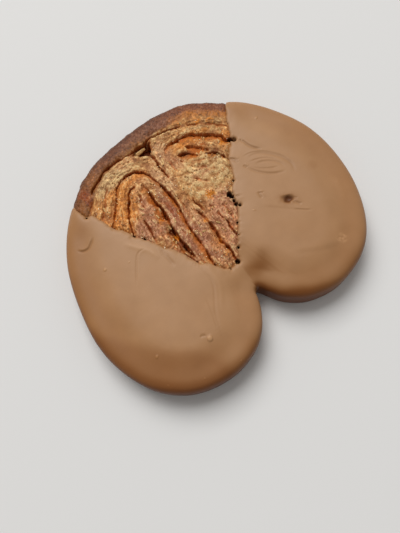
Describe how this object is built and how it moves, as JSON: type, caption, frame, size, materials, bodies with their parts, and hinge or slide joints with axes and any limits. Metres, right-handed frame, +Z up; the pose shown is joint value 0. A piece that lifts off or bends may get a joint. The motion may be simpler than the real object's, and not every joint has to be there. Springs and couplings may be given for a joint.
{
  "type": "palmier",
  "caption": "Heart-shaped slice of rolled puff pastry lying flat, its lobes dipped in milk chocolate, with a bare wedge of caramelised folds between them.",
  "frame": {"origin": "centre of the slice's footprint, at the height of the surface it lies on", "axes": "+X across the lobes, +Y from the cleft towards the spine of the pastry, +Z up out of the shown face"},
  "size_m": [0.1612, 0.1417, 0.0202],
  "materials": {
    "caramelised_pastry": "baked and caramelised puff pastry, rough, with sugar crystals and glossy syrup in the creases",
    "milk_chocolate": "set milk chocolate, smooth, with a soft satin sheen"
  },
  "bodies": {
    "root": {"pastry": "caramelised_pastry", "chocolate_coat": "milk_chocolate"}
  },
  "joints": []
}
